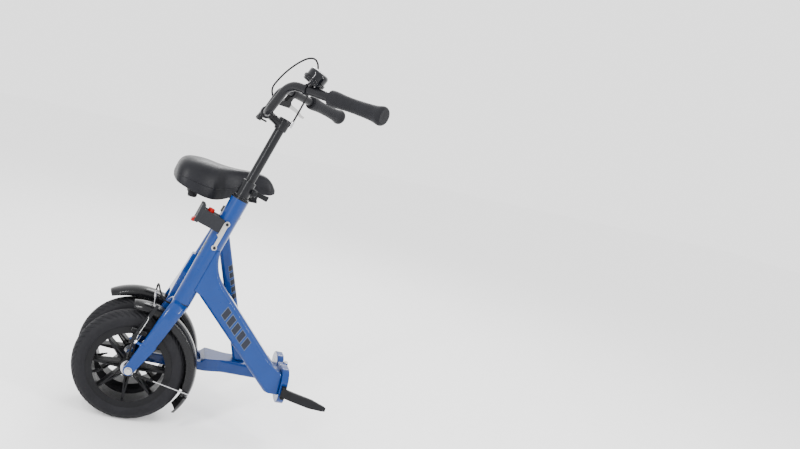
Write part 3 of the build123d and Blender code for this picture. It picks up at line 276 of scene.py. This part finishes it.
def finish_cad():
    down = Vector((0.693, 0, -0.721))
    mast = Vector((0.33, 0, -0.944))
    put(blue_paint("blue_paint"), "front_hinge_plate", "rear_hinge_plate", "seat_tube",
        "chain_stay", "seat_stays", "fork")
    put(blue_paint("blue_paint_down_tube",
                   bar_marks((0.030, 0, 0.369), down, (0.721, 0, 0.693), 5, 0.0255, 0.0135)),
        "down_tube")
    put(blue_paint("blue_paint_mast",
                   bar_marks((0.040, 0, 0.470), mast, (0.944, 0, 0.33), 5, 0.021, 0.011)),
        "rear_mast")
    put(blue_paint("blue_paint_head_tube",
                   bar_marks(STEER_FOOT + STEER_UP * 0.345, STEER_UP, (0, 1, 0), 3, 0.016, 0.010,
                             keep=(STEER_FOOT - STEER_BACK * 0.008, -STEER_BACK))),
        "head_tube")
    put(finish("black_coat", BLACK, 0.30, coat=0.45, coat_rough=0.14, grain=0.0012, bump=0.03,
               mottle=0.2, dust=0.05), "handlebar_post", "post_clamp", "seat_clamp", "seat_post",
        "headset", "post_clamp_lever", "seat_clamp_lever", "latch_mount",
        "stem_bolts")
    put(finish("black_satin", (0.0052, 0.0054, 0.0068), 0.38, coat=0.4, coat_rough=0.15,
               grain=0.0012, bump=0.03, mottle=0.16), "handlebar", "stem_clamp",
        "saddle_rails_and_clamp")
    put(finish("black_cast", (0.0052, 0.0054, 0.0066), 0.42, grain=0.0010, bump=0.06, mottle=0.2),
        "brake_arm_left", "brake_arm_right", "brake_bracket", "latch_lever")
    put(finish("zinc", (0.42, 0.42, 0.43), 0.28, metal=1, grain=0.0009, bump=0.03, mottle=0.14),
        "hinge_pin", "front_axle", "rear_axle", "front_mudguard_stays",
        "brake_noodle", "front_hub", "rear_hub", "cable_ends",
        "steerer_tube")
    put(finish("brushed_plate", (0.42, 0.41, 0.39), 0.30, metal=1, grain=0.0005, bump=0.16,
               stretch=(1, 1, 0.12), mottle=0.08), "carrier_plates")
    put(finish("polished_alloy", (0.36, 0.36, 0.355), 0.20, metal=1, grain=0.0006, bump=0.08,
               stretch=(0.2, 1, 1)), "brake_lever")
    put(finish("moulded_grey", (0.013, 0.0138, 0.0165), 0.52, grain=0.0006, bump=0.35,
               cells=True, mottle=0.08), "carrier_adapter")
    put(finish("moulded_red", (0.30, 0.003, 0.0025), 0.34, grain=0.0008, bump=0.12, mottle=0.08),
        "carrier_button", "carrier_catch")
    put(finish("mudguard_plastic", (0.0045, 0.0045, 0.0055), 0.24, coat=0.5, coat_rough=0.10,
               grain=0.0012, bump=0.08, mottle=0.18, dust=0.06), "front_mudguard",
        "rear_mudguard")
    put(finish("rim_plastic", (0.0035, 0.0036, 0.0045), 0.36, grain=0.0009, bump=0.2, cells=True,
               mottle=0.2, dust=0.08), "front_rim", "rear_rim")
    put(finish("bell_plastic", (0.003, 0.0034, 0.005), 0.16, coat=0.8, coat_rough=0.05,
               grain=0.0009, bump=0.05), "bell_base", "bell_dome", "bell_ring")
    put(finish("base_plastic", BLACK, 0.48, grain=0.0007, bump=0.25, cells=True), "saddle_base")
    put(finish("soft_rubber", (0.006, 0.006, 0.007), 0.66, sheen=0.25, grain=0.0007, bump=0.35,
               mottle=0.2, dust=0.05), "brake_pad_left", "brake_pad_right",
        "front_mudflap", "saddle_bumpers", "front_inner_tube", "rear_inner_tube")
    put(finish("foam_grip", (0.0068, 0.007, 0.0088), 0.72, sheen=0.10, grain=0.0008, bump=0.55,
               cells=True, mottle=0.15), "grips")
    put(finish("cable_cover", (0.006, 0.006, 0.0068), 0.42, grain=0.0005, bump=0.12),
        "brake_cable", "fork_brake_cable")


# ------------------------------------------------------------------ mesh helpers
def closed_mesh(name, points, faces):
    """A mesh whose faces all look outwards."""
    mesh = bpy.data.meshes.new(name)
    mesh.from_pydata([tuple(point) for point in points], [], faces)
    mesh.validate()
    work = bmesh.new()
    work.from_mesh(mesh)
    bmesh.ops.recalc_face_normals(work, faces=work.faces)
    work.to_mesh(mesh)
    work.free()
    return mesh


def shade_smooth(mesh):
    for polygon in mesh.polygons:
        polygon.use_smooth = True


def new_piece(name, points, faces, body, material):
    mesh = closed_mesh(name, points, faces)
    piece = bpy.data.objects.new(name, mesh)
    bpy.context.collection.objects.link(piece)
    shade_smooth(mesh)
    mesh.materials.append(material)
    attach(piece, body)
    return piece


def grid_faces(rows, columns, close_rows=True, close_columns=True):
    """Quads over a grid of points numbered row by row."""
    faces = []
    for row in range(rows if close_rows else rows - 1):
        for column in range(columns if close_columns else columns - 1):
            after, beside = (row + 1) % rows, (column + 1) % columns
            faces.append((row * columns + column, row * columns + beside,
                          after * columns + beside, after * columns + column))
    return faces


def tube_shape(rows, across):
    """A closed tube through rows of (point, half width, half thickness), widest along across."""
    points, steps = [], 28
    for i, (point, wide, thick) in enumerate(rows):
        way = rows[min(i + 1, len(rows) - 1)][0] - rows[max(i - 1, 0)][0]
        flat = way.cross(across).normalized()
        broad = flat.cross(way).normalized()
        for k in range(steps):
            turn = 2 * pi * k / steps
            points.append(point + broad * wide * cos(turn) + flat * thick * sin(turn))
    faces = grid_faces(len(rows), steps, close_rows=False)
    last = (len(rows) - 1) * steps
    faces += [tuple(range(steps)), tuple(last + k for k in reversed(range(steps)))]
    return points, faces


def cut_below(node, point, normal):
    """Points and faces of the part of a CAD node below a plane, with the cut closed."""
    work = bmesh.new()
    work.from_mesh(NODES[node].data)
    bmesh.ops.remove_doubles(work, verts=work.verts, dist=1e-6)
    bmesh.ops.bisect_plane(work, geom=work.verts[:] + work.edges[:] + work.faces[:],
                           plane_co=point, plane_no=normal, clear_outer=True)
    bmesh.ops.holes_fill(work, edges=[edge for edge in work.edges if edge.is_boundary], sides=0)
    work.verts.index_update()
    points = [vert.co.copy() for vert in work.verts]
    faces = [tuple(vert.index for vert in face.verts) for face in work.faces]
    work.free()
    return points, faces


def joined(node, shapes, body, slot, voxel, passes):
    """One smooth piece grown from overlapping shapes, in place of a CAD node."""
    points, faces = [], []
    for more_points, more_faces in shapes:
        first = len(points)
        points += more_points
        faces += [tuple(first + index for index in face) for face in more_faces]
    rounded(node, body, slot, voxel, passes, closed_mesh(node + "_joined", points, faces))


def rounded(node, body, slot, voxel, passes, mesh=None):
    """A CAD node, or a mesh in its place, with the sharp edges worn round as on a welded piece."""
    material = NODES[node].data.materials[0]
    piece = bpy.data.objects.new(node + "_rounded", mesh or NODES[node].data.copy())
    bpy.context.collection.objects.link(piece)
    remesh = piece.modifiers.new("remesh", "REMESH")
    remesh.mode = "VOXEL"
    remesh.voxel_size = voxel
    remesh.use_smooth_shade = True
    soften = piece.modifiers.new("soften", "SMOOTH")
    soften.factor = 0.5
    soften.iterations = passes
    graph = bpy.context.evaluated_depsgraph_get()
    piece.data = bpy.data.meshes.new_from_object(piece.evaluated_get(graph))
    piece.modifiers.clear()
    piece.data.name = node + "_rounded"
    piece.data.materials.clear()
    piece.data.materials.append(material)
    shade_smooth(piece.data)
    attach(piece, body)
    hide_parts(node)


ROUNDED = (   # node, body, slot, voxel size in metres, smoothing passes
    ("down_tube", "front_frame", "frame_blue", 0.0019, 9),
    ("rear_mast", "rear_frame", "frame_blue", 0.0017, 8),
    ("chain_stay", "rear_frame", "frame_blue", 0.0018, 8),
    ("seat_stays", "rear_frame", "frame_blue", 0.0015, 10),
    ("front_hinge_plate", "front_frame", "frame_blue", 0.0013, 5),
    ("rear_hinge_plate", "rear_frame", "frame_blue", 0.0013, 5),
    ("brake_arm_left", "brake_left", "black_metal", 0.0008, 8),
    ("brake_arm_right", "brake_right", "black_metal", 0.0008, 8),
    ("latch_lever", "latch_lever", "black_metal", 0.0012, 8),
    ("brake_bracket", "handlebar", "black_metal", 0.0008, 6),
    ("brake_lever", "brake_lever", "silver_alloy", 0.0007, 5),
    ("post_clamp", "fork", "black_metal", 0.0007, 5),
    ("seat_clamp", "rear_frame", "black_metal", 0.0008, 5),
    ("carrier_adapter", "front_frame", "adapter_grey", 0.0008, 6),
)


FORK_CUT = 94             # the CAD leg is kept up to here, mm from the axle
FORK_LEG = (              # from the axle, mm: back, up, sideways; half width, half thickness
    (19, 35, 40.3, 15.5, 5.8),
    (39.5, 75.4, 41.0, 19.3, 7.2),
    (53, 105.5, 41.8, 20.5, 8.4),
    (66, 135, 42.0, 21.5, 8.9),
    (77, 161, 41.0, 22, 9.6),
    (87, 181, 36.0, 22.5, 11),
    (95, 193, 27.0, 22.5, 12),
    (100, 199, 14.0, 23, 12.5),
    (101, 200, 0, 23, 12.5),
)


def fork():
    """Tube legs that run up round the wheel into a round crown, over the CAD fork's ends."""
    shapes = [cut_below("fork", FRONT_AXLE + ARM_UP * (FORK_CUT * MM), ARM_UP)]
    for side in (-1, 1):
        rows = [(FRONT_AXLE + Vector((x * MM, side * y * MM, z * MM)), wide * MM, thick * MM)
                for x, z, y, wide, thick in FORK_LEG]
        shapes.append(tube_shape(rows, ARM_AHEAD))
    crown = [(STEER_FOOT + STEER_UP * s * MM, r * MM, r * MM)
             for s, r in ((186, 20), (190, 23), (204, 24.6), (CROWN_TOP, 24.6))]
    shapes.append(tube_shape(crown, STEER_BACK))
    joined("fork", shapes, "fork", "frame_blue", 0.0014, 12)


def stem():
    """A sleeve on the post's top, a neck, a ring round the bar and the ears that close it."""
    turned = (Matrix.Translation(STEER_FOOT) @ Matrix.Rotation(BAR_TURN, 4, STEER_UP)
              @ Matrix.Translation(-STEER_FOOT))

    def at(s, t, y=0.0):
        """A place s along, t behind and y beside the steering axis, in mm."""
        return turned @ (STEER_FOOT + STEER_UP * s * MM + STEER_BACK * t * MM
                         + Vector((0, y * MM, 0)))

    sideways = at(0, 0, 1000) - at(0, 0)
    post = [(at(s, 0), r * MM, r * MM) for s, r in ((741, 15.6), (744, 17), (768, 17), (774, 15.4))]
    neck = [(at(s, t), wide * MM, thick * MM) for s, t, wide, thick in (
        (757, 4, 15, 13), (758, -14, 16, 11.5), (761, -30, 18, 10.5), (BAR_S, -50, 20, 11))]
    ring = [(at(BAR_S, BAR_T, y), r * MM, r * MM)
            for y, r in ((-21, 15.2), (-19.5, 16.4), (19.5, 16.4), (21, 15.2))]
    ears = [(at(s, t), 17 * MM, thick * MM) for s, t, thick in (
        (760, -60, 8), (748, -62, 8), (738, -62, 7))]
    joined("stem_clamp", [tube_shape(post, sideways), tube_shape(neck, sideways),
                          tube_shape(ring, STEER_UP), tube_shape(ears, sideways)],
           "handlebar", "black_metal", 0.0010, 6)


def guard(node, axle, outer, high, low, body):
    """A mudguard with side walls that reach down over the tyre's shoulders."""
    steps, arc, half, thick, crown = 72, 16, 31.0, 2.2, 15
    points = []
    for i in range(steps + 1):
        angle = radians(high + (low - high) * i / steps)
        wall = 2 + 14 * min(1.0, (i / steps) / 0.4, 0.35 + (1 - i / steps) / 0.15)
        narrow = 1.0 - 0.25 * max(0.0, 1 - i / 5) - 0.25 * max(0.0, 1 - (steps - i) / 4)
        loop = []
        for shrink in (0.0, thick):              # outside, then back along the inside
            side = [(-(half - shrink), outer - crown - wall)]
            for k in range(arc + 1):
                turn = pi * k / arc
                side.append((-(half - shrink) * cos(turn),
                             outer - crown + (crown - shrink) * sin(turn)))
            side.append((half - shrink, outer - crown - wall))
            loop += side if shrink == 0.0 else side[::-1]
        for across, reach in loop:
            points.append(axle + Vector((reach * cos(angle), across * narrow,
                                         reach * sin(angle))) * MM)
    columns = 2 * (arc + 3)
    faces = grid_faces(steps + 1, columns, close_rows=False)
    for row in (0, steps):
        for k in range(columns // 2 - 1):
            faces.append(tuple(row * columns + index for index in
                               (k, k + 1, columns - 2 - k, columns - 1 - k)))
    piece = new_piece(node + "_blade", points, faces, body,
                      NODES[node].data.materials[0])
    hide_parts(node)


# ------------------------------------------------------------------ tyres
GROOVES = 54              # slanted grooves on each shoulder
TREAD_MIDDLE, TREAD_EDGE = radians(12), radians(62)   # the grooves lie between these angles
BEAD = radians(121)
GROOVE_HALF, GROOVE_DEEP = 0.19, 0.0027               # half width in pitches, depth in metres
RIBS = ((radians(7), 0.0012), (radians(86), -0.0006), (radians(104), -0.0008))   # angle, depth
RIB_WIDE = radians(1.6)
CASING_IN = 0.0004        # the casing lies this far inside the CAD tyre


def tread(around, across):
    """Height of the rubber over the smooth casing, around the wheel and across the section."""
    wide = abs(across)
    height = 0.0
    for rib, depth in RIBS:
        height -= depth * exp(-((wide - rib) / RIB_WIDE) ** 2)
    if wide < TREAD_EDGE:
        lean = 1.9 * (wide / TREAD_EDGE) ** 1.4
        turn = GROOVES * around / (2 * pi) + lean + (0.5 if across < 0 else 0.0)
        off = abs(turn - round(turn))
        if off < GROOVE_HALF and wide > TREAD_MIDDLE:
            fade = min(1.0, (TREAD_EDGE - wide) / radians(10), (wide - TREAD_MIDDLE) / radians(5))
            height -= GROOVE_DEEP * fade * (0.5 + 0.5 * cos(pi * off / GROOVE_HALF))
    return height


def tyre(name, axle, body):
    """An open-bellied tyre with a cut tread, grown row by row around the wheel."""
    around_steps, across_steps, inner_steps, wall = GROOVES * 12, 72, 12, 0.0042
    ring = WHEEL_R - TYRE_R
    points = []
    for i in range(around_steps):
        around = 2 * pi * i / around_steps
        section = []
        for k in range(across_steps + 1):
            across = -BEAD + 2 * BEAD * k / across_steps
            height = min(CASING_IN, tread(around, across))
            section.append((across, TYRE_R - CASING_IN + height))
        for k in range(inner_steps, -1, -1):
            across = -BEAD + 2 * BEAD * k / inner_steps
            section.append((across, TYRE_R - wall))
        for across, out in section:
            reach = ring + out * cos(across)
            points.append(axle + Vector((reach * cos(around), out * sin(across),
                                         reach * sin(around))))
    faces = grid_faces(around_steps, across_steps + inner_steps + 2)
    rubber = finish(name + "_rubber", (0.0062, 0.0062, 0.0078), 0.58, sheen=0.02, grain=0.0009,
                    bump=0.22, mottle=0.16, dust=0.10)
    piece = new_piece(name + "_tread", points, faces, body, rubber)
    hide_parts(name)


# ------------------------------------------------------------------ saddle
SADDLE_LINE = [   # station along the saddle: half width, crown height, skirt edge height
    (0.000, 0.030, 0.700, 0.688),
    (0.030, 0.074, 0.726, 0.680),
    (0.085, 0.092, 0.741, 0.673),
    (0.180, 0.0985, 0.746, 0.664),
    (0.290, 0.096, 0.745, 0.654),
    (0.400, 0.083, 0.740, 0.649),
    (0.500, 0.060, 0.737, 0.652),
    (0.600, 0.042, 0.736, 0.663),
    (0.700, 0.032, 0.737, 0.676),
    (0.800, 0.028, 0.736, 0.681),
    (0.890, 0.026, 0.731, 0.683),
    (0.955, 0.023, 0.718, 0.684),
    (1.000, 0.012, 0.700, 0.689),
]


def ease(table, at):
    """Smooth curve through a table of (position, value, ...) rows."""
    last = len(table) - 1
    step = max(i for i in range(last) if table[i][0] <= at or i == 0)
    rows = [table[max(0, step - 1)], table[step], table[step + 1], table[min(last, step + 2)]]
    share = (at - rows[1][0]) / (rows[2][0] - rows[1][0])
    run = rows[2][0] - rows[1][0]
    found = []
    for a, b, c, d in list(zip(*rows))[1:]:
        leave = (c - a) / (rows[2][0] - rows[0][0]) * run
        arrive = (d - b) / (rows[3][0] - rows[1][0]) * run
        found.append(b * (2 * share**3 - 3 * share**2 + 1)
                     + leave * (share**3 - 2 * share**2 + share)
                     + c * (3 * share**2 - 2 * share**3) + arrive * (share**3 - share**2))
    return found


STATIONS = 60             # along the saddle, closer together at its ends


def saddle_station(i):
    """Share of the length, half width, crown height and skirt edge height at a station."""
    at = 0.5 - 0.5 * cos(pi * i / STATIONS)
    return at, *ease(SADDLE_LINE, at)


def saddle_skin(half, crown, edge, turn):
    """Distance from the middle and height, a turn away from the crown towards the skirt edge."""
    return half * sin(turn) ** 0.86, crown + (edge - crown) * (1 - cos(turn)) ** 1.25


def saddle():
    """The padded cover, hollow below over its base, and the piping near its lower edge."""
    low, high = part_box("saddle")
    base_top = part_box("saddle_base")[1].z + 0.0004
    mid_y = (low.y + high.y) / 2
    long = high.x - low.x
    half_steps = 22
    points = []
    for i in range(STATIONS + 1):
        at, half, crown, edge = saddle_station(i)
        x = low.x + long * at
        section = [saddle_skin(half, crown, edge, pi / 2 * k / half_steps)
                   for k in range(half_steps + 1)]
        lip = min(0.006, half * 0.3)
        section.append((half - lip * 0.4, edge - 0.0012))
        section.append((half - lip, edge + 0.001))
        roof = max(edge + 0.003, min(base_top, crown - 0.012))
        section.append((max(0.0, half - lip - 0.001), roof))
        section.append((0.0, roof))
        loop = section + [(-out, z) for out, z in reversed(section[1:-1])]
        points += [Vector((x, mid_y + out, z)) for out, z in loop]
    columns = 2 * (half_steps + 5) - 2
    faces = grid_faces(STATIONS + 1, columns, close_rows=False)
    faces.append(tuple(range(columns)))
    faces.append(tuple(STATIONS * columns + i for i in reversed(range(columns))))
    vinyl = finish("saddle_vinyl", (0.0062, 0.0064, 0.0084), 0.40, sheen=0.02, coat=0.15,
                   coat_rough=0.35, grain=0.0011, bump=0.30, cells=True, mottle=0.12)
    piece = new_piece("saddle_cover", points, faces, "seat", vinyl)
    rounding = piece.modifiers.new("rounding", "SUBSURF")
    rounding.levels = rounding.render_levels = 1
    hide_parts("saddle")
    seam = []
    ahead = range(2, STATIONS - 1)
    for i, side in [(i, 1) for i in ahead] + [(i, -1) for i in reversed(ahead)]:
        at, half, crown, edge = saddle_station(i)
        out, height = saddle_skin(half, crown, edge, pi / 2 * 0.83)
        seam.append(Vector((low.x + long * at, mid_y + side * (out + 0.0002), height)))
    wire("saddle_piping", seam, 0.0011, "seat", vinyl, closed=True)


# ------------------------------------------------------------------ wire pieces
def wire(name, points, radius, body, material, closed=False):
    """A round wire through the points, as a smooth curve."""
    data = bpy.data.curves.new(name, "CURVE")
    data.dimensions = "3D"
    data.bevel_depth = radius
    data.bevel_resolution = 4
    data.use_fill_caps = True
    line = data.splines.new("NURBS")
    line.points.add(len(points) - 1)
    for point, place in zip(line.points, points):
        point.co = (*place, 1)
    line.order_u = 3
    line.use_endpoint_u = not closed
    line.use_cyclic_u = closed
    line.resolution_u = 6
    data.materials.append(material)
    piece = bpy.data.objects.new(name, data)
    bpy.context.collection.objects.link(piece)
    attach(piece, body)
    return piece


def stay_sleeves():
    """Black sleeves on the wire stays next to the axle."""
    cover = finish("sleeve_plastic", (0.0045, 0.0045, 0.005), 0.4, grain=0.0008, bump=0.1)
    stay_angle = radians(-14)
    way = Vector((cos(stay_angle), 0, sin(stay_angle)))
    for side, sign in (("left", -1), ("right", 1)):
        first = FRONT_AXLE + way * 12 * MM + Vector((0, sign * 51 * MM, 0))
        last = FRONT_AXLE + way * 179 * MM + Vector((0, sign * 34 * MM, 0))
        along = (last - first).normalized()
        wire(f"stay_sleeve_{side}", [first + along * reach * MM for reach in (2, 32, 61)],
             0.0036, "fork", cover)


def plate_bolts():
    """Button heads of the two bolts that hold each thin plate of the luggage adapter."""
    dark = finish("bolt_black", (0.006, 0.006, 0.007), 0.35, coat=0.3, grain=0.0008, bump=0.08)
    low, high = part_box("carrier_plates")
    for k, (x, z) in enumerate(((high.x - 8 * MM, high.z - 7.5 * MM),
                                (low.x + 8 * MM, low.z + 7.5 * MM))):
        for side, y, way in (("left", low.y, -1), ("right", high.y, 1)):
            head = [Vector((x, y + way * out * MM, z)) for out in (-0.5, 0.6, 1.8)]
            wire(f"plate_bolt_{side}_{k}", head, 0.0042, "front_frame", dark)


def brake_springs():
    """A coil round each brake boss and the long wire that pushes the arm open."""
    bright = finish("spring_wire", (0.70, 0.70, 0.70), 0.22, metal=1, grain=0.0005, bump=0.05)
    for side, sign in (("left", -1), ("right", 1)):

        def at(ahead, up, outwards):
            """A place ahead of, up and outside the brake boss, in mm."""
            sideways = Vector((0, sign * (BRAKE_Y + outwards * MM), 0))
            return LEG_FOOT + ARM_AHEAD * ahead * MM + ARM_UP * up * MM + sideways

        coil_r = 7.2
        coil = [at(20 + k * 0.17, coil_r * sin(k * 0.8), coil_r * cos(k * 0.8))
                for k in range(28)]
        run = [at(25, 9, 4), at(28, 22, 7), at(29, 45, 8), at(30, 66, 7.5), at(31, 74, 6),
               at(34, 77, 5.5)]
        wire(f"brake_spring_{side}", coil + run, 0.00075, f"brake_{side}", bright)


# ------------------------------------------------------------------ build
FRONT_GUARD_R, REAR_GUARD_R = 187.0, 192.0     # mudguards' outside radius, mm

photo_camera()
finish_cad()
studio()
tyre("front_tyre", FRONT_AXLE, "front_wheel")
tyre("rear_tyre", REAR_AXLE, "rear_wheel")
saddle()
brake_springs()
stay_sleeves()
plate_bolts()
fork()
stem()
guard("front_mudguard", FRONT_AXLE, FRONT_GUARD_R, 96, -20, "fork")
guard("rear_mudguard", REAR_AXLE, REAR_GUARD_R, 119, 4, "rear_frame")
for wanted in ROUNDED:
    rounded(*wanted)
